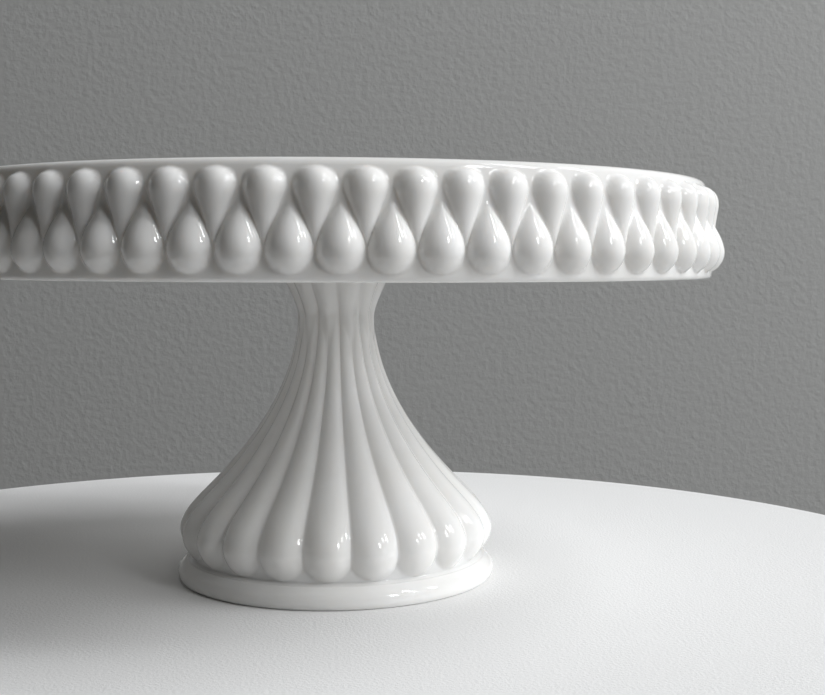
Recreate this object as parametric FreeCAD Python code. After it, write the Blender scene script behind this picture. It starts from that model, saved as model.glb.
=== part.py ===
import FreeCAD, Part
import math
import os

# Pedestal cake stand of pressed opaque white glass, in millimetres.
# +Z is up; the origin is the centre of the foot, on the surface the stand rests on.
# A plate with a hanging skirt of moulded drops is fused, by a wafer of glass, onto a
# hollow fluted pedestal. Turns about Z are counted from the front (-Y) towards +X.

# Overall sizes
HEIGHT = 141.9            # table to the crest of the plate's rim
SKIRT_DEPTH = 33.4        # rim crest to the skirt's lower edge
PLATE_R = 138.3           # outermost bulge of the lower drops
PEDESTAL_TOP_Z = 130.0    # flat top of the pedestal's flare
WAFER_T = 2.5             # glass that joins the pedestal to the plate

# Plate: a flat disc with a low rounded rim
DISC_TOP_Z = HEIGHT - 2.5
DISC_UNDER_Z = PEDESTAL_TOP_Z + WAFER_T
RIM_FOOT_R = 125.0        # where the flat top starts to rise to the rim
RIM_ROUND = 1.2           # radius of the rim's rounded crest
RIM_CREST = (130.1, HEIGHT)
RIM_IN = (RIM_CREST[0] - RIM_ROUND * math.sqrt(0.5), HEIGHT - RIM_ROUND * (1 - math.sqrt(0.5)))
RIM_OUT = (RIM_CREST[0] + RIM_ROUND, HEIGHT - RIM_ROUND)

# Skirt: a sloping wall whose lower edge has two rounded corners
SKIRT_LOW_Z = HEIGHT - SKIRT_DEPTH
EDGE_ROUND = 1.5
EDGE_OUT = (133.9, SKIRT_LOW_Z + EDGE_ROUND)
EDGE_IN = (129.1, SKIRT_LOW_Z + EDGE_ROUND)
COVE_R = 6.0              # hollow corner between the skirt and the disc
COVE_START = (126.0, DISC_UNDER_Z - COVE_R)

# Drops on the skirt: two rows, half a pitch apart, tails interleaved
DROPS = 62                # drops in each row
DROP_HALF_W = 6.4
UPPER_BULGE_R = 135.9
UPPER_DROP_Z = HEIGHT - 7.4
UPPER_ROUND = 5.6         # from the widest place to the round end
UPPER_TAIL = 15.6         # from the widest place to the point
LOWER_DROP_Z = HEIGHT - 24.3
LOWER_ROUND = 6.6
LOWER_TAIL = 11.5
TIP_SINK = 0.2            # how far a drop's point lies under the wall's face

# Pedestal: outline of the flute crests, as (radius, height)
FLUTES = 21
FLUTE_TURN = -3.3         # degrees; turn at which the pedestal was fused to the plate
FOOT_CONTACT_R = 56.2
FOOT_SIDE_R = 57.8
FOOT_TOP = (53.6, 9.2)
BULB = (56.9, 17.6)       # widest place of the flutes
SHOULDER = (47.0, 32.2)   # here the crest line leans at 45 degrees
BULB_CORNER = 4.5         # how much higher a flute's round lower end starts in the valley
WAIST = (14.1, 94.0)
FLARE_TOP = (30.0, PEDESTAL_TOP_Z)

# Flute relief
RELIEF_RATIO = 0.07       # depth of a flute's valley over its crest radius
LOBE_ARC = math.radians(72)   # half angle of the round stretch in a flute's section
LOW_FADE = (82.0, 106.0)      # the foot's flutes run out to points over this height
HIGH_FADE = (80.0, 112.0)     # the flare's flutes grow out of points over this height

# Hollow of the pedestal, open at the foot
HOLLOW_FOOT_R = 51.5
HOLLOW_SHOULDER = (49.5, 14.0)
HOLLOW_NECK = (7.0, 82.0)

# Fineness of the moulded pedestal skin
SIDE_POINTS = 8           # across half a flute
FOOT_ROWS = 9
BULB_ROWS = 9
SHOULDER_ROWS = 8
BELL_ROWS = 14
FLARE_ROWS = 10
SEW_TOL = 0.002

Z_AXIS = FreeCAD.Vector(0, 0, 1)
CENTRE = FreeCAD.Vector(0, 0, 0)
QUARTER = 0.5523          # handle of a cubic that follows a quarter of an ellipse


def at(r, z):
    """Point of a section, drawn in the XZ plane."""
    return FreeCAD.Vector(r, 0, z)


def line(a, b):
    return Part.LineSegment(at(*a), at(*b)).toShape()


def arc(a, b, c):
    return Part.Arc(at(*a), at(*b), at(*c)).toShape()


def bezier_edge(points):
    curve = Part.BezierCurve()
    curve.setPoles(points)
    return curve.toShape()


def turned_solid(edges):
    """Solid of revolution about Z of a closed section."""
    return Part.Face(Part.Wire(edges)).revolve(CENTRE, Z_AXIS, 360)


def wall_radius(z):
    """Outer radius of the bare skirt wall at a height."""
    share = (RIM_OUT[1] - z) / (RIM_OUT[1] - EDGE_OUT[1])
    return RIM_OUT[0] + (EDGE_OUT[0] - RIM_OUT[0]) * share


def half_drop(half_w, round_len, tail_len):
    """Half of a tear-shaped body: its axis is Z, its point is up and it bulges to +X."""
    low = FreeCAD.Vector(0, 0, -round_len)
    wide = FreeCAD.Vector(0, -half_w, 0)
    tip = FreeCAD.Vector(0, 0, tail_len)
    round_end = bezier_edge([
        low,
        FreeCAD.Vector(0, -QUARTER * half_w, -round_len),
        FreeCAD.Vector(0, -half_w, -QUARTER * round_len),
        wide,
    ])
    tail = bezier_edge([
        wide,
        FreeCAD.Vector(0, -half_w, tail_len * 0.25),
        FreeCAD.Vector(0, -half_w * 0.6, tail_len * 0.45),
        tip,
    ])
    axis = Part.LineSegment(tip, low).toShape()
    return Part.Face(Part.Wire([round_end, tail, axis])).revolve(CENTRE, Z_AXIS, 180)


def placed_drop(bulge_r, z, round_len, tail_len, upward):
    """One drop on the front of the wall, its point up or down along the wall."""
    drop = half_drop(DROP_HALF_W, round_len, tail_len)
    axis_r = bulge_r - DROP_HALF_W
    sign = 1 if upward else -1
    tip_r = wall_radius(z + sign * tail_len) - TIP_SINK
    lean = math.degrees(math.atan2(tip_r - axis_r, tail_len))
    if not upward:
        drop.rotate(CENTRE, FreeCAD.Vector(1, 0, 0), 180)
    drop.rotate(CENTRE, FreeCAD.Vector(0, 1, 0), sign * lean)
    drop.translate(FreeCAD.Vector(axis_r, 0, z))
    drop.rotate(CENTRE, Z_AXIS, -90)
    return drop


def ring_of(shape, count, first_turn):
    """Copies of a shape spaced evenly about Z."""
    copies = []
    for k in range(count):
        copy = shape.copy()
        copy.rotate(CENTRE, Z_AXIS, first_turn + k * 360.0 / count)
        copies.append(copy)
    return copies


def plate_blank():
    """Disc, rim and bare skirt wall in one turned section."""
    half = math.sqrt(0.5)
    cove_mid = (COVE_START[0] - COVE_R * (1 - half), COVE_START[1] + COVE_R * half)
    cove_end = (COVE_START[0] - COVE_R, DISC_UNDER_Z)
    flat_out = (EDGE_OUT[0] - EDGE_ROUND, SKIRT_LOW_Z)
    flat_in = (EDGE_IN[0] + EDGE_ROUND, SKIRT_LOW_Z)
    corner_z = SKIRT_LOW_Z + EDGE_ROUND * (1 - half)
    return turned_solid([
        line((0, DISC_TOP_Z), (RIM_FOOT_R, DISC_TOP_Z)),
        line((RIM_FOOT_R, DISC_TOP_Z), RIM_IN),
        arc(RIM_IN, RIM_CREST, RIM_OUT),
        line(RIM_OUT, EDGE_OUT),
        arc(EDGE_OUT, (flat_out[0] + EDGE_ROUND * half, corner_z), flat_out),
        line(flat_out, flat_in),
        arc(flat_in, (flat_in[0] - EDGE_ROUND * half, corner_z), EDGE_IN),
        line(EDGE_IN, COVE_START),
        arc(COVE_START, cove_mid, cove_end),
        line(cove_end, (0, DISC_UNDER_Z)),
        line((0, DISC_UNDER_Z), (0, DISC_TOP_Z)),
    ])


def plate():
    """Plate pressed in one piece with its skirt of drops."""
    upper = placed_drop(UPPER_BULGE_R, UPPER_DROP_Z, UPPER_ROUND, UPPER_TAIL, False)
    lower = placed_drop(PLATE_R, LOWER_DROP_Z, LOWER_ROUND, LOWER_TAIL, True)
    half_pitch = 180.0 / DROPS
    drops = ring_of(lower, DROPS, 0.0) + ring_of(upper, DROPS, half_pitch)
    return plate_blank().multiFuse(drops)


def joint_wafer():
    """Disc of glass that was melted between the plate and the pedestal."""
    r = FLARE_TOP[0] - 0.8
    mid_z = PEDESTAL_TOP_Z + WAFER_T / 2
    return turned_solid([
        line((0, PEDESTAL_TOP_Z), (r, PEDESTAL_TOP_Z)),
        arc((r, PEDESTAL_TOP_Z), (r + 0.6, mid_z), (r, DISC_UNDER_Z)),
        line((r, DISC_UNDER_Z), (0, DISC_UNDER_Z)),
        line((0, DISC_UNDER_Z), (0, PEDESTAL_TOP_Z)),
    ])


def bezier_point(poles, t):
    """Point of a plane cubic at t from 0 to 1."""
    weights = ((1 - t) ** 3, 3 * (1 - t) ** 2 * t, 3 * (1 - t) * t ** 2, t ** 3)
    r = sum(w * p[0] for w, p in zip(weights, poles))
    z = sum(w * p[1] for w, p in zip(weights, poles))
    return r, z


def curve_rows(poles, count):
    """Points spread along a cubic, both ends included."""
    return [bezier_point(poles, k / (count - 1)) for k in range(count)]


def crest_rows():
    """Outline of the foot ring and the flute crests: bulb, bell, waist and flare."""
    foot = ((FOOT_CONTACT_R, 0), (FOOT_SIDE_R + 1.2, 1.0), (FOOT_SIDE_R + 0.6, 7.6), FOOT_TOP)
    bulb = ((BULB[0], FOOT_TOP[1]), (BULB[0], 12.0), (BULB[0], 14.8), BULB)
    shoulder = (BULB, (BULB[0], BULB[1] + 5.0), (SHOULDER[0] + 4.2, SHOULDER[1] - 4.2), SHOULDER)
    bell = (SHOULDER, (SHOULDER[0] - 7.0, SHOULDER[1] + 7.0), (WAIST[0], WAIST[1] - 29.2), WAIST)
    flare = (WAIST, (WAIST[0], WAIST[1] + 5.0), (25.0, 118.0), FLARE_TOP)
    rows = curve_rows(foot, FOOT_ROWS)
    rows += curve_rows(bulb, BULB_ROWS)[1:]
    rows += curve_rows(shoulder, SHOULDER_ROWS)[1:]
    rows += curve_rows(bell, BELL_ROWS)[1:]
    rows += curve_rows(flare, FLARE_ROWS)[1:]
    return rows


def smooth_step(z, span):
    s = min(max((z - span[0]) / (span[1] - span[0]), 0.0), 1.0)
    return s * s * (3 - 2 * s)


def lobe(u):
    """Height of a flute's round section, 1 on its crest and 0 in its valley."""
    floor = math.cos(LOBE_ARC)
    return (math.sqrt(1 - (u * math.sin(LOBE_ARC)) ** 2) - floor) / (1 - floor)


def round_end(z, u):
    """Share of a flute's relief left on its round lower end, which is lowest on the crest."""
    start = FOOT_TOP[1] + BULB_CORNER * u ** 2
    s = min(max((z - start) / (BULB[1] - start), 0.0), 1.0)
    return 1 - (1 - s) ** 2


def fluted_radius(r, z, u):
    """Radius of the pedestal at a share u of the way from a crest to a valley."""
    if z <= FOOT_TOP[1]:
        return r
    low = RELIEF_RATIO * r * (1 - smooth_step(z, LOW_FADE))
    high = RELIEF_RATIO * r * smooth_step(z, HIGH_FADE)
    return r - low * (1 - lobe(u) * round_end(z, u)) - high * (1 - lobe(1 - u))


def skin_patch(rows, mirrored):
    """Moulded surface between one crest and the valley beside it."""
    half_pitch = math.pi / FLUTES
    grid = []
    for r, z in rows:
        line_points = []
        for k in range(SIDE_POINTS):
            u = math.sin(LOBE_ARC * k / (SIDE_POINTS - 1)) / math.sin(LOBE_ARC)
            turn = -u * half_pitch if mirrored else u * half_pitch
            radius = fluted_radius(r, z, u)
            line_points.append(FreeCAD.Vector(radius * math.sin(turn), -radius * math.cos(turn), z))
        grid.append(line_points)
    surface = Part.BSplineSurface()
    surface.interpolate(grid)
    return surface.toShape()


def edges_at(faces, z):
    """Edges that lie wholly at one height."""
    found = []
    for face in faces:
        for edge in face.Edges:
            box = edge.BoundBox
            if abs(box.ZMin - z) < SEW_TOL and abs(box.ZMax - z) < SEW_TOL:
                found.append(edge)
    return found


def flat_cap(faces, z):
    """Flat face that closes the moulded skin at one height."""
    return Part.Face(Part.Wire(Part.__sortEdges__(edges_at(faces, z))))


def outward(solid):
    """The same solid with its faces turned outwards."""
    if solid.Volume < 0:
        solid.reverse()
    return solid


def hollow():
    """Space that the plunger leaves inside the pedestal, narrowing into the neck."""
    tip_z = HOLLOW_NECK[1] + HOLLOW_NECK[0]
    bend = HOLLOW_NECK[0] * math.sqrt(0.5)
    start, neck = HOLLOW_SHOULDER, HOLLOW_NECK
    bell = bezier_edge([
        at(*start),
        at(start[0], start[1] + 7.0),
        at(neck[0], neck[1] - 28.0),
        at(*neck),
    ])
    return turned_solid([
        line((0, 0), (HOLLOW_FOOT_R, 0)),
        line((HOLLOW_FOOT_R, 0), start),
        bell,
        arc(neck, (bend, neck[1] + bend), (0, tip_z)),
        line((0, tip_z), (0, 0)),
    ])


def pedestal():
    """Fluted bell, neck and flare pressed in one piece, hollow from below."""
    faces = []
    for mirrored in (False, True):
        faces += ring_of(skin_patch(crest_rows(), mirrored), FLUTES, FLUTE_TURN)
    faces.append(flat_cap(faces, 0.0))
    faces.append(flat_cap(faces, PEDESTAL_TOP_Z))
    skin = Part.Compound(faces)
    skin.sewShape(SEW_TOL)
    return outward(Part.Solid(skin.Shells[0])).cut(hollow())


NODES = {
    "plate": plate,
    "joint_wafer": joint_wafer,
    "pedestal": pedestal,
}

os.makedirs("parts", exist_ok=True)
for name, make in NODES.items():
    piece = make().Solids[0]
    piece.exportStep("parts/" + name + ".step")
    print(name, "solids", len(piece.Solids), "valid", piece.isValid(),
          "volume_cm3", round(piece.Volume / 1000, 2), "box", piece.BoundBox)
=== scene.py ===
import math

import bpy
import numpy as np
from mathutils import Matrix, Vector


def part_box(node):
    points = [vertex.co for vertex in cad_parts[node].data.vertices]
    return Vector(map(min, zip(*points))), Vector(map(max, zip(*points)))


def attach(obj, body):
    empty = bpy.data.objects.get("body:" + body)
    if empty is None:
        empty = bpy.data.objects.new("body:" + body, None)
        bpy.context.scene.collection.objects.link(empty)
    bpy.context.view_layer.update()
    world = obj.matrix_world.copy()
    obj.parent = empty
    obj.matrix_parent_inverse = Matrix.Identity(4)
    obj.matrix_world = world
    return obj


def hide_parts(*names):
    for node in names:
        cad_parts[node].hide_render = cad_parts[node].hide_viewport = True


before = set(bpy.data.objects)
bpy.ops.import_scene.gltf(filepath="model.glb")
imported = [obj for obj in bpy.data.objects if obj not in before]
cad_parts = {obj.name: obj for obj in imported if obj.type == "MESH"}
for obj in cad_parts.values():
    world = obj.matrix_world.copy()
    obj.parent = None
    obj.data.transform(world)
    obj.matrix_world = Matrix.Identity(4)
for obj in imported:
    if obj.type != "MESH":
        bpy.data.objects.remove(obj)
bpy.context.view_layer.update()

# Pedestal cake stand of opaque white pressed glass. The glass is in millimetres in the CAD
# frame and is turned into metres when a mesh is made; the surroundings are in metres. Turns
# about Z are counted from the front (-Y) towards +X.
MM = 0.001
FULL_TURN = 2 * math.pi

plate_low, plate_high = (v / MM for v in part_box("plate"))
wafer_low, wafer_high = (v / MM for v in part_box("joint_wafer"))
_, pedestal_high = (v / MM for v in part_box("pedestal"))

TOP_Z = plate_high.z                 # crest of the rim
SKIRT_LOW_Z = plate_low.z            # lower edge of the skirt
BULGE_R = -plate_low.y               # outermost bulge of the lower drops
FLARE_Z = pedestal_high.z            # flat top of the pedestal
UNDER_Z = wafer_high.z               # underside of the disc
DISC_TOP_Z = TOP_Z - 2.5


# ---------------------------------------------------------------- mesh helpers

def smooth_max(a, b, fillet):
    """The larger of two radii, with the valley between them filled over a depth of fillet."""
    near = np.maximum(fillet - np.abs(a - b), 0.0) / fillet
    return np.maximum(a, b) + near * near * fillet / 4


def step(x, start, end):
    """Smooth rise from 0 at start to 1 at end."""
    share = np.clip((x - start) / (end - start), 0.0, 1.0)
    return share * share * (3 - 2 * share)


def wrapped(turn, period):
    """A turn less whole periods, so that it lies within half a period of zero."""
    return (turn + period / 2) % period - period / 2


def even_turns(count, first=0.0):
    return first + np.arange(count) * FULL_TURN / count


def cubic(points, count):
    """Points along a plane cubic, both ends included."""
    t = np.linspace(0, 1, count)[:, None]
    a, b, c, d = (np.array(point, float) for point in points)
    return (1 - t) ** 3 * a + 3 * (1 - t) ** 2 * t * b + 3 * (1 - t) * t ** 2 * c + t ** 3 * d


def section(start, *cubics):
    """Points along cubics laid end to end; each has two controls, an end and a point count."""
    parts = [np.array([start], float)]
    for control, other_control, end, count in cubics:
        parts.append(cubic((start, control, other_control, end), count)[1:])
        start = end
    return np.concatenate(parts)


def packed(distances, closeness, count):
    """Distances of count rows along a line, closer together where closeness is larger."""
    mean = (closeness[1:] + closeness[:-1]) / 2
    weight = np.concatenate([[0], np.cumsum(np.diff(distances) * mean)])
    return np.interp(np.linspace(0, weight[-1], count), weight, distances)


def ring(radius, z, turns):
    """One ring of points at the given turns; radius and z may differ from point to point."""
    radius = np.broadcast_to(radius, turns.shape)
    z = np.broadcast_to(z, turns.shape)
    return np.stack([radius * np.sin(turns), -radius * np.cos(turns), z], 1)


def band(ring_a, ring_b):
    """Quads between two rings of the same count, given as arrays of vertex numbers."""
    next_a, next_b = np.roll(ring_a, -1), np.roll(ring_b, -1)
    return np.stack([ring_a, ring_b, next_b, next_a], 1).tolist()


def fan_band(coarse, fine):
    """Triangles between a coarse ring and a fine ring whose count is a multiple of it."""
    ratio = len(fine) // len(coarse)
    half = ratio // 2
    faces = []
    for j in range(len(coarse)):
        near, far = coarse[j], coarse[(j + 1) % len(coarse)]
        for k in range(ratio):
            start, end = fine[j * ratio + k], fine[(j * ratio + k + 1) % len(fine)]
            faces.append([near if k < half else far, start, end])
        faces.append([near, fine[j * ratio + half], far])
    return faces


class Skin:
    """Closed surface made ring by ring from one pole to the other.

    The faces look outwards when the first pole looks up; looking_down turns them over.
    """

    def __init__(self, looking_down=False):
        self.looking_down = looking_down
        self.points = []
        self.faces = []
        self.count = 0
        self.last = None

    def add(self, points):
        """Keep new points and return their vertex numbers."""
        numbers = np.arange(self.count, self.count + len(points))
        self.points.append(points)
        self.count += len(points)
        return numbers

    def pole(self, z):
        """First point, on the axis."""
        self.last = self.add(np.array([[0.0, 0.0, z]]))

    def ring(self, points):
        """One more ring of points, joined to the last one."""
        new, old = self.add(points), self.last
        if len(old) == 1:
            self.faces += [[int(old[0]), int(a), int(b)] for a, b in zip(new, np.roll(new, -1))]
        elif len(old) == len(new):
            self.faces += band(old, new)
        elif len(old) < len(new):
            self.faces += fan_band(old, new)
        else:
            self.faces += [face[::-1] for face in fan_band(new, old)]
        self.last = new

    def turned(self, points, turns):
        """Plain rings through section points, each a radius and a height."""
        for radius, z in points:
            self.ring(ring(radius, z, turns))

    def close(self, z):
        """Last point, on the axis."""
        old = self.last
        end = self.add(np.array([[0.0, 0.0, z]]))
        self.faces += [[int(a), int(end[0]), int(b)] for a, b in zip(old, np.roll(old, -1))]

    def build(self, name):
        """Mesh object in metres."""
        mesh = bpy.data.meshes.new(name)
        faces = [face[::-1] for face in self.faces] if self.looking_down else self.faces
        mesh.from_pydata((np.concatenate(self.points) * MM).tolist(), [], faces)
        mesh.validate()
        mesh.shade_smooth()
        return placed(name, mesh)


def placed(name, data):
    """New object in the scene that shows a mesh, a light or a camera."""
    obj = bpy.data.objects.new(name, data)
    bpy.context.scene.collection.objects.link(obj)
    return obj


# ---------------------------------------------------------------- plate

# Turned parts of the plate's section, as radii and heights
DISC_RINGS = (30, 60, 90, 110, 119)
RIM_INSIDE = (
    (121.0, DISC_TOP_Z), (123.6, DISC_TOP_Z), (123.2, TOP_Z - 1.0), (125.2, TOP_Z - 0.45))
RIM_CREST = (
    (126.0, TOP_Z - 0.27), (128.4, TOP_Z + 0.22), (131.0, TOP_Z + 0.1), (131.35, TOP_Z - 2.1))
SKIRT_INNER_R = BULGE_R - 9.2
UNDER_CORNER = (
    (SKIRT_INNER_R - 0.4, SKIRT_LOW_Z + 4), (126.8, 120), (126.6, UNDER_Z), (118.1, UNDER_Z))
UNDER_RINGS = (100, 70, 40, 20)

# Bare outer wall of the skirt
WALL_TOP_Z = TOP_Z - 1.6
WALL_LOW_Z = SKIRT_LOW_Z + 1.6
WALL_TOP_R = BULGE_R - 7.0
WALL_LEAN = 2.65                     # how much wider it is at its lower edge
WALL_CURVE = 1.8                     # over 1, it leans most at the top and stands plumb below

# Relief of the skirt
DROPS = 62
PITCH = FULL_TURN / DROPS
RELIEF_TOP_Z = TOP_Z - 2.3
RELIEF_LOW_Z = SKIRT_LOW_Z + 1.5
RELIEF_ROWS = 42
COLUMNS = 12                         # mesh columns across half a pitch
DROP_FILLET = 1.8                    # depth of the fillet where two drops meet
WALL_FILLET = 3.2                    # the same where a drop meets the wall
TOP_FILLET = 2.6                     # the same round the heads of the upper drops
STEEP = 2.5                          # fall of a drop's face outside its outline, sideways
STEEP_END = 2.0                      # the same beyond its ends
TIP_DEPTH = 0.2                      # how far a tail's tip lies inside the wall
WIDTH_SHARE = 0.6                    # share of a drop's depth at which its width is measured
THIN = 1e-4                          # least share of a drop's width, to divide by
LOWER_TAIL_POWER = 1.75
UPPER_TAIL_FADE = 6.3


def lower_tail(along):
    """Share of its width that a lower drop keeps at a share of its tail: broad, then pointed."""
    return 1 - along ** LOWER_TAIL_POWER


def upper_tail(along):
    """The same for an upper drop, whose sides run nearly straight to the tip."""
    return (1 - along) * (1 + along * math.exp(-UPPER_TAIL_FADE * along))


# A drop of each row. "half" is half its width, "deep" the height of its face over its own
# ground, "bulge" the radius of its outermost point, "z" the height of its widest place, "way"
# the side its tail points to, "round" and "tail" the lengths of its head and tail, and "edge"
# the power that shapes its section: 0.5 is an ellipse, and more is slimmer
LOWER = {"half": 6.45, "deep": 5.4, "bulge": BULGE_R, "z": TOP_Z - 24.3, "way": 1,
         "round": 6.6, "tail": 11.3, "narrowing": lower_tail, "edge": 0.53}
UPPER = {"half": 5.7, "deep": 4.5, "bulge": BULGE_R - 2.4, "z": TOP_Z - 7.9, "way": -1,
         "round": 5.3, "tail": 15.3, "narrowing": upper_tail, "edge": 0.56}

# Heights between which the relief changes, each from its lower to its upper end
HEAD_SPAN = (UPPER["z"] - 1.0, UPPER["z"] + 4.0)            # the wall's fillet gets smaller
RUN_OUT_SPAN = (TOP_Z - 3.5, TOP_Z - 2.0)                   # the relief runs out under the rim
EDGE_SPAN = (SKIRT_LOW_Z + 0.6, SKIRT_LOW_Z + 3.0)          # the columns leave their even places
RIM_SPAN = (TOP_Z - 3.4, TOP_Z - 1.4)                       # and go back to them
LOW_CLOSE_SPAN = (SKIRT_LOW_Z + 4.5, SKIRT_LOW_Z + 5.5)     # the rows are close below this
HIGH_CLOSE_SPAN = (TOP_Z - 5.0, TOP_Z - 4.0)                # and above this
VALLEY_SHARE = 0.11                  # least share of half a pitch from a centre line to a valley
VALLEY_SLOPE = 0.0529                # how that share grows with every millimetre down
HEIGHT_SAMPLES = 400


def wall_radius(z):
    """Bare outer wall of the skirt; it leans out towards its lower edge."""
    share = min((WALL_TOP_Z - z) / (WALL_TOP_Z - WALL_LOW_Z), 1.0)
    return WALL_TOP_R + WALL_LEAN * (1 - (1 - share) ** WALL_CURVE)


def drop_face(drop, turn, z):
    """Radius of a drop's face at turns from its centre line; outside the drop it falls away."""
    along = drop["way"] * (z - drop["z"])
    if along < 0:
        head = min(-along / drop["round"], 1.0)
        share, lean = math.sqrt(1 - head * head), 0.0
    else:
        lean = min(along / drop["tail"], 1.0)
        share = drop["narrowing"](lean)
    ground = drop["bulge"] - drop["deep"]
    tip_r = wall_radius(drop["z"] + drop["way"] * drop["tail"]) - TIP_DEPTH
    beyond = max(along - drop["tail"], 0.0) + max(-along - drop["round"], 0.0)
    ground += lean * (tip_r - ground) - STEEP_END * beyond
    half = drop["half"] * max(share, THIN)
    aside = np.abs(turn) * (ground + WIDTH_SHARE * drop["deep"])
    full = np.clip(1 - (aside / half) ** 2, 0, None) ** drop["edge"]
    return np.where(aside < half, ground + drop["deep"] * share * full, ground - STEEP * (aside - half))


def relief(turn, z):
    """Outer radius of the skirt at turns from a lower drop's centre, 0 to half a pitch."""
    wall = np.full_like(turn, wall_radius(z))
    low = drop_face(LOWER, turn, z)
    high = drop_face(UPPER, PITCH / 2 - turn, z)
    fillet = WALL_FILLET + (TOP_FILLET - WALL_FILLET) * step(z, *HEAD_SPAN)
    rise = 1 - step(z, *RUN_OUT_SPAN)
    return wall + rise * (smooth_max(smooth_max(low, high, DROP_FILLET), wall, fillet) - wall)


def relief_columns(z):
    """Turns across one pitch, packed where the face of one drop meets the next."""
    half_pitch = PITCH / 2
    valley = VALLEY_SHARE + (UPPER["z"] - z) * VALLEY_SLOPE
    valley = np.clip(valley, VALLEY_SHARE, 1 - VALLEY_SHARE)
    share = np.arange(COLUMNS // 2) / (COLUMNS // 2)
    before = valley * np.sin(share * math.pi / 2)
    after = 1 - (1 - valley) * np.sin((1 - share) * math.pi / 2)
    even = np.arange(COLUMNS) / COLUMNS
    moved = step(z, *EDGE_SPAN) * (1 - step(z, *RIM_SPAN))
    right = (even + (np.concatenate([before, after]) - even) * moved) * half_pitch
    left = PITCH - np.concatenate([[half_pitch], right[:0:-1]])
    return np.concatenate([right, left])


def relief_row(z):
    """One ring of the relief: the radii across one pitch, repeated for every drop."""
    columns = relief_columns(z)
    radius = relief(np.minimum(columns, PITCH - columns), z)
    turns = even_turns(DROPS)[:, None] + columns
    return ring(np.tile(radius, DROPS), z, turns.ravel())


def relief_heights():
    """Heights of the relief's rows: twice as close at the drops' round ends as elsewhere."""
    down = np.linspace(0, RELIEF_TOP_Z - RELIEF_LOW_Z, HEIGHT_SAMPLES)
    z = RELIEF_TOP_Z - down
    closeness = 1 + step(z, *HIGH_CLOSE_SPAN) + (1 - step(z, *LOW_CLOSE_SPAN))
    return RELIEF_TOP_Z - packed(down, closeness, RELIEF_ROWS)


def skirt_edge():
    """Outer round of the skirt's lower edge, from just under the relief."""
    r = wall_radius(RELIEF_LOW_Z)
    points = (r, RELIEF_LOW_Z), (r, SKIRT_LOW_Z + 0.5), (r - 0.5, SKIRT_LOW_Z), (r - 1.7, SKIRT_LOW_Z)
    return cubic(points, 8)[1:]


def skirt_inside():
    """Inner round of the skirt's lower edge, its inner face and the corner under the disc."""
    r, z = SKIRT_INNER_R, SKIRT_LOW_Z
    edge = (r + 1.8, z), (r + 0.6, z), (r, z + 0.5), (r - 0.1, z + 1.6)
    return np.concatenate([cubic(edge, 5), cubic(UNDER_CORNER, 12)])


def make_plate():
    """Disc, low rim and hanging skirt, from the middle of the top round to the underside."""
    skin = Skin()
    coarse = even_turns(4 * DROPS)
    fine = even_turns(2 * COLUMNS * DROPS)
    skin.pole(DISC_TOP_Z)
    skin.turned([(r, DISC_TOP_Z) for r in DISC_RINGS], coarse)
    skin.turned(cubic(RIM_INSIDE, 6), coarse)
    skin.turned(cubic(RIM_CREST, 10), fine)
    for z in relief_heights():
        skin.ring(relief_row(z))
    skin.turned(skirt_edge(), fine)
    skin.turned(skirt_inside(), coarse)
    skin.turned([(r, UNDER_Z) for r in UNDER_RINGS], coarse)
    skin.close(UNDER_Z)
    return skin.build("glass_plate")


# ---------------------------------------------------------------- joint wafer

WAFER_COLUMNS = 180
WAFER_WAVES = ((3, 0.22, 0.7), (7, 0.13, 2.1), (12, 0.07, 0.0))   # count round, size, phase


def make_wafer():
    """Lens of glass that was pressed out between the plate and the pedestal."""
    skin = Skin(looking_down=True)
    turns = even_turns(WAFER_COLUMNS)
    wave = sum(size * np.sin(count * turns + phase) for count, size, phase in WAFER_WAVES)
    reach, low, high = wafer_high.x, wafer_low.z, wafer_high.z
    edge = (reach - 1.3, low), (reach + 0.5, low + 0.25), (reach + 0.6, high - 0.35), (reach + 0.9, high)
    skin.pole(low)
    skin.ring(ring(reach / 2, low, turns))
    for r, z in cubic(edge, 9):
        skin.ring(ring(r + wave, z, turns))
    skin.ring(ring(reach / 2, high, turns))
    skin.close(high)
    return skin.build("glass_wafer")


# ---------------------------------------------------------------- pedestal

# Sections of the pedestal, as radii and heights: the crest line of the flutes, the foot ring
# from the table up to the flutes, and the hollow
BULB_R, BULB_Z = 56.9, 17.0          # outermost place of the flutes
CREST = section(
    (53.2, 8.1),
    ((54.6, 8.7), (56.9, 12.0), (BULB_R, BULB_Z), 12),
    ((56.9, 22.6), (51.2, 28.0), (47.0, 32.2), 14),
    ((40.0, 39.2), (14.1, 64.8), (14.1, 94.0), 34),
    ((14.1, 100.0), (24.4, 117.2), (30.5, FLARE_Z), 26))
FOOT = section(
    (56.0, 0.0),
    ((56.9, 0.1), (57.5, 1.2), (57.5, 2.4), 7),
    ((57.5, 3.6), (57.15, 4.4), (56.6, 5.2), 6),
    ((56.1, 5.9), (55.4, 6.5), (54.9, 7.0), 4),
    ((54.6, 7.3), (54.4, 7.5), (54.1, 7.5), 6),
    ((53.7, 7.5), (53.25, 7.6), (53.2, 8.1), 6))
HOLLOW_TOP_Z = 92.0
HOLLOW = np.concatenate([
    cubic(((3.0, 91.6), (7.5, 89.0), (6.0, 66.0), (12.5, 54.0)), 9),
    cubic(((15.0, 50.2), (23.0, 38.0), (49.0, 32.0), (50.2, 10.0)), 14),
    cubic(((50.4, 6.0), (50.6, 1.0), (51.6, 0.05), (53.4, 0.0)), 7)])
PEDESTAL_COLUMNS = 504
PEDESTAL_ROWS = 150
BULB_CLOSE = 1.6                     # how much closer the rows are round the flutes' ends
BULB_CLOSE_SPAN = (18.0, 26.0)       # heights over which they spread again
NECK_CLOSE = 0.5                     # how much closer they are from the neck up
NECK_CLOSE_SPAN = (70.0, 84.0)

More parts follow.
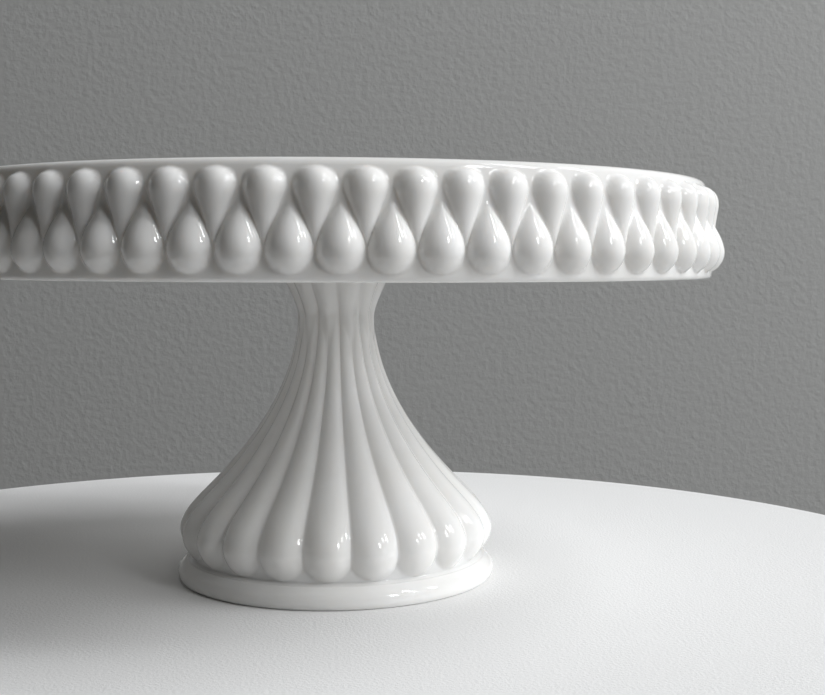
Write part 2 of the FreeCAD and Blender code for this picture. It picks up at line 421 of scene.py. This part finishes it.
# Flutes of the bell
FLUTES = 21
FLUTE_TURN = math.radians(-3.9)
DEPTH = 0.075                        # depth of a valley over the radius of the crest
VALLEY_FILLET = 0.8                  # depth of the fillet in a valley over the valley's depth
ARC = math.radians(66)               # half the arc that a flute's section is cut from
END_LENGTH = 8.7                     # length of a flute's round lower end
END_FALL = 0.6                       # how far the ground falls back over that length
LOBE_LOWEST = -0.6                   # a section is cut off here, below the ground
SINK = 1.35                          # how far the flutes sink under those of the flare
SINK_SPAN = (82.0, 106.0)            # heights between which they do

# Flutes of the flare, which start as points between the flutes of the bell
NECK_FLUTES = 12
NECK_TURN = math.radians(13.2)       # centre of the first of them at the top
NECK_SPAN = (80.0, 107.0)            # heights of the points and of the full width
NECK_HALF_WIDTHS = (1.0, 15.2)       # degrees, at these two heights
NECK_DEPTHS = (0.25, 1.4)            # depths of their section, at these two heights
NECK_CREST_Z = 92.0                  # up to here their crests rise out of the bell's valleys
NECK_STRAIGHT_Z = 114.0              # up to here they lean aside from their points
NECK_FILLET = 0.9
NECK_LEANS = (9.6, 13.8, 1.0, 5.3)   # degrees from centre to point; the pattern repeats
FLAT_LENGTH = 8.0                    # below the flat top, where their section gets shallower
FLAT_SHARE = 0.7                     # how much of its depth is gone at the top


def lobe(square):
    """Round section: 1 in the middle, 0 where the squared distance from it is sin(ARC) ** 2."""
    return (np.sqrt(np.clip(1 - square, 0.0, None)) - math.cos(ARC)) / (1 - math.cos(ARC))


def bell_face(r, z, turn):
    """Radius of the bell's flutes at a point (r, z) of the crest line.

    Below the bulb their round ends take over, and above the neck they sink into the flare.
    """
    crest = r if z >= BULB_Z else BULB_R
    deep = DEPTH * crest
    end = np.clip((BULB_Z - z) / END_LENGTH, 0, 1)
    ground = crest - deep - END_FALL * end - SINK * step(z, *SINK_SPAN)
    flute_pitch = FULL_TURN / FLUTES
    aside = wrapped(turn - FLUTE_TURN, flute_pitch) / (flute_pitch / 2)
    square = (aside * math.sin(ARC)) ** 2 + end * end
    face = ground + deep * np.maximum(lobe(square), LOBE_LOWEST)
    return smooth_max(face, np.full_like(turn, ground), VALLEY_FILLET * deep)


def neck_flutes():
    """Turn of the centre of each flute of the flare, and of its point from that centre.

    Every point is brought to the nearest valley between two flutes of the bell.
    """
    valleys = even_turns(FLUTES, FLUTE_TURN + math.pi / FLUTES)
    flutes = []
    for j, centre in enumerate(even_turns(NECK_FLUTES, NECK_TURN)):
        lean = math.radians(NECK_LEANS[j % len(NECK_LEANS)])
        gaps = wrapped(valleys - centre - lean, FULL_TURN)
        flutes.append((centre, lean + gaps[np.argmin(np.abs(gaps))]))
    return flutes


NECK = neck_flutes()


def neck_face(r, z, turn):
    """Radius of the flare's flutes at a point (r, z) of the crest line."""
    half_width = math.radians(np.interp(z, NECK_SPAN, NECK_HALF_WIDTHS))
    flat = FLAT_SHARE * step(z, FLARE_Z - FLAT_LENGTH, FLARE_Z)
    depth = np.interp(z, NECK_SPAN, NECK_DEPTHS) * (1 - flat)
    crest = r - DEPTH * r * (1 - step(z, NECK_SPAN[0], NECK_CREST_Z))
    aside = 1 - step(z, NECK_SPAN[0], NECK_STRAIGHT_Z)
    face = np.zeros_like(turn)
    for centre, lean in NECK:
        off = wrapped(turn - centre - lean * aside, FULL_TURN)
        face = np.maximum(face, crest - depth * (off / half_width) ** 2)
    return face


def pedestal_radius(r, z, turn):
    """Outer radius of the pedestal at a point (r, z) of the crest line."""
    face = bell_face(r, z, turn)
    if z >= NECK_SPAN[0]:
        face = smooth_max(face, neck_face(r, z, turn), NECK_FILLET)
    return face


def crest_rows():
    """Crest line points for the rows, closer on the round ends and at the neck."""
    crest_r, crest_z = CREST.T
    along = np.concatenate([[0], np.cumsum(np.hypot(np.diff(crest_r), np.diff(crest_z)))])
    closeness = 1 + BULB_CLOSE * (1 - step(crest_z, *BULB_CLOSE_SPAN))
    closeness += NECK_CLOSE * step(crest_z, *NECK_CLOSE_SPAN)
    rows = packed(along, closeness, PEDESTAL_ROWS)
    return zip(np.interp(rows, along, crest_r), np.interp(rows, along, crest_z))


def make_pedestal():
    """Fluted foot, from the top of its hollow down, round the foot ring and up the outside."""
    skin = Skin(looking_down=True)
    turns = even_turns(PEDESTAL_COLUMNS, FLUTE_TURN)
    skin.pole(HOLLOW_TOP_Z)
    skin.turned(HOLLOW, turns[::4])
    skin.turned(FOOT[:-1], turns)
    for r, z in crest_rows():
        skin.ring(ring(pedestal_radius(r, z, turns), z, turns))
    skin.close(FLARE_Z)
    return skin.build("glass_pedestal")


# ---------------------------------------------------------------- materials

def new_material(name):
    """Material that uses nodes, with its shader."""
    material = bpy.data.materials.new(name)
    material.use_nodes = True
    return material, material.node_tree.nodes["Principled BSDF"]


def set_inputs(node, values):
    for name, value in values.items():
        node.inputs[name].default_value = value


def add_node(material, kind, values):
    """New node of one kind, with some of its inputs set."""
    node = material.node_tree.nodes.new(kind)
    set_inputs(node, values)
    return node


def link(material, source, output, target, name):
    material.node_tree.links.new(source.outputs[output], target.inputs[name])


def add_noise(material, source, output, values):
    """Noise over the coordinates that come out of another node."""
    noise = add_node(material, "ShaderNodeTexNoise", values)
    link(material, source, output, noise, "Vector")
    return noise


def add_bump(material, shader, noise, *, strength, distance):
    """Let a noise raise the surface by up to a distance in metres."""
    bump = add_node(material, "ShaderNodeBump", {"Strength": strength, "Distance": distance})
    link(material, noise, "Fac", bump, "Height")
    link(material, bump, "Normal", shader, "Normal")


# Where on the noise each tint of the glass stands
CLOUD_TINTS = ((0.32, (0.825, 0.815, 0.795, 1)), (0.70, (0.875, 0.87, 0.86, 1)))
SEED_STEPS = (1.0, 0.37, -0.21)      # where a seed moves the noise to, along X, Y and Z


def milk_glass(name, seed):
    """Opaque white pressed glass: faint cloudiness, handling marks and fire-polished ripple."""
    material, shader = new_material(name)
    where = add_node(material, "ShaderNodeTexCoord", {})
    location = [seed * size for size in SEED_STEPS]
    place = add_node(material, "ShaderNodeMapping", {"Location": location})
    link(material, where, "Object", place, "Vector")

    cloud = add_noise(material, place, "Vector", {"Scale": 22.0, "Detail": 4.0, "Distortion": 1.2})
    tint = add_node(material, "ShaderNodeValToRGB", {})
    for element, (position, colour) in zip(tint.color_ramp.elements, CLOUD_TINTS):
        element.position = position
        element.color = colour
    link(material, cloud, "Fac", tint, "Fac")
    link(material, tint, "Color", shader, "Base Color")

    marks = add_noise(material, place, "Vector", {"Scale": 160.0, "Detail": 3.0})
    gloss = add_node(material, "ShaderNodeMapRange", {"To Min": 0.03, "To Max": 0.07})
    link(material, marks, "Fac", gloss, "Value")
    link(material, gloss, "Result", shader, "Roughness")

    ripple = add_noise(material, place, "Vector", {"Scale": 55.0, "Detail": 1.0})
    add_bump(material, shader, ripple, strength=0.25, distance=0.0003)

    set_inputs(shader, {
        "IOR": 1.52,
        "Subsurface Weight": 0.5,
        "Subsurface Radius": (1.0, 0.95, 0.9),
        "Subsurface Scale": 0.005,
    })
    return material


def plain_material(name, colour, grain, depth):
    """Rough, dull surface with a fine grain."""
    material, shader = new_material(name)
    where = add_node(material, "ShaderNodeTexCoord", {})
    noise = add_noise(material, where, "Object", {"Scale": grain, "Detail": 5.0})
    add_bump(material, shader, noise, strength=0.4, distance=depth)
    set_inputs(shader, {"Base Color": colour, "Roughness": 0.9})
    return material


def pale_cloth():
    return plain_material("pale_cloth", (0.84, 0.838, 0.835, 1), grain=900.0, depth=0.0004)


def grey_wall():
    return plain_material("grey_wall", (0.385, 0.385, 0.378, 1), grain=120.0, depth=0.003)


# ---------------------------------------------------------------- surroundings

FLOOR_R = 0.259
FLOOR_X, FLOOR_Y = -0.012, -0.022
BACKDROP_HALF, BACKDROP_Y = 3.0, 1.3
BACKDROP_HEIGHTS = (-1.2, 2.4)
WINDOW_FAR = 4.0
WINDOW_AIM = Vector((0, 0, 0.1))
WINDOW_COLOUR = (0.97, 0.985, 1.0)
WORLD_COLOUR = (1.0, 0.96, 0.87, 1)
WORLD_STRENGTH = 0.039
# name, turn from the front and rise in degrees, width and height in metres, power in watts
SOFT_WINDOWS = (
    ("window_low", 70, 10, 3.4, 1.2, 66),
    ("window_middle", 86, 36, 2.8, 1.8, 54),
    ("window_high", 80, 61, 2.8, 1.6, 60),
)
PANES = (
    ("pane_tall", 62, 43, 0.32, 1.6, 29),
    ("pane_short", 42, 29, 0.42, 0.9, 22),
    ("pane_side", 80, 33, 0.32, 0.8, 15),
)


def flat_piece(name, points, material):
    """One flat face in the scene."""
    mesh = bpy.data.meshes.new(name)
    mesh.from_pydata(points, [], [list(range(len(points)))])
    mesh.materials.append(material)
    return placed(name, mesh)


def make_floor():
    """Round table top under a pale cloth."""
    points = [(FLOOR_X + FLOOR_R * math.sin(turn), FLOOR_Y - FLOOR_R * math.cos(turn), 0.0)
              for turn in even_turns(256)]
    obj = flat_piece("floor", points, pale_cloth())


def make_backdrop():
    """Plain wall some way behind the stand."""
    low, high = BACKDROP_HEIGHTS
    half = BACKDROP_HALF
    corners = (-half, low), (half, low), (half, high), (-half, high)
    obj = flat_piece("backdrop", [(x, BACKDROP_Y, z) for x, z in corners], grey_wall())


def area_light(name, turn, rise, width, height, power):
    """Rectangular light that faces the stand from a turn and a rise in degrees."""
    turn, rise = math.radians(turn), math.radians(rise)
    level = math.cos(rise)
    away = Vector((level * math.sin(turn), -level * math.cos(turn), math.sin(rise)))
    light = bpy.data.lights.new(name, "AREA")
    light.shape = "RECTANGLE"
    light.size = width
    light.size_y = height
    light.energy = power
    light.color = WINDOW_COLOUR
    place = WINDOW_AIM + away * WINDOW_FAR
    obj = placed(name, light)
    obj.location = place
    obj.rotation_euler = (WINDOW_AIM - place).to_track_quat("-Z", "Y").to_euler()
    return obj


def make_lights():
    """Soft window light from the right, and panes that show in the glass as small highlights."""
    for windows, shows in ((SOFT_WINDOWS, False), (PANES, True)):
        for window in windows:
            area_light(*window).visible_glossy = shows


def make_world():
    """Dim warm light from all sides, and plain colours without a film look."""
    world = bpy.context.scene.world or bpy.data.worlds.new("world")
    bpy.context.scene.world = world
    world.use_nodes = True
    set_inputs(world.node_tree.nodes["Background"], {"Color": WORLD_COLOUR, "Strength": WORLD_STRENGTH})
    bpy.context.scene.view_settings.view_transform = "Standard"


# ---------------------------------------------------------------- camera

CAMERA_PLACE = (-0.0044, -0.4831, 0.1144)
YAW, PITCH_DOWN, ROLL = 0.0875, 0.0656, 0.0024      # radians, from a level look along +Y


def make_camera():
    """View from the front, just below the rim; the plate's left end is outside the picture."""
    camera = bpy.data.cameras.new("camera")
    camera.sensor_width = 36.0
    camera.lens = 57.67
    camera.shift_x = -0.0333
    camera.clip_start = 0.01
    camera.clip_end = 20
    level = math.cos(PITCH_DOWN)
    ahead = Vector((math.sin(YAW) * level, math.cos(YAW) * level, -math.sin(PITCH_DOWN)))
    flat_right = Vector((math.cos(YAW), -math.sin(YAW), 0))
    plumb_up = flat_right.cross(ahead)
    right = math.cos(ROLL) * flat_right + math.sin(ROLL) * plumb_up
    up = math.cos(ROLL) * plumb_up - math.sin(ROLL) * flat_right
    turn = Matrix((right, up, -ahead)).transposed().to_4x4()
    obj = placed("camera", camera)
    obj.matrix_world = Matrix.Translation(CAMERA_PLACE) @ turn
    bpy.context.scene.camera = obj


# ---------------------------------------------------------------- scene

PIECES = ((make_plate, "plate", 1.0), (make_wafer, "joint_wafer", 2.0), (make_pedestal, "pedestal", 3.0))
for make, node, seed in PIECES:
    piece = make()
    piece.data.materials.append(milk_glass("milk_glass_" + node, seed))
    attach(piece, "root")
    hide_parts(node)

make_floor()
make_backdrop()
make_lights()
make_world()
make_camera()

bpy.context.view_layer.update()
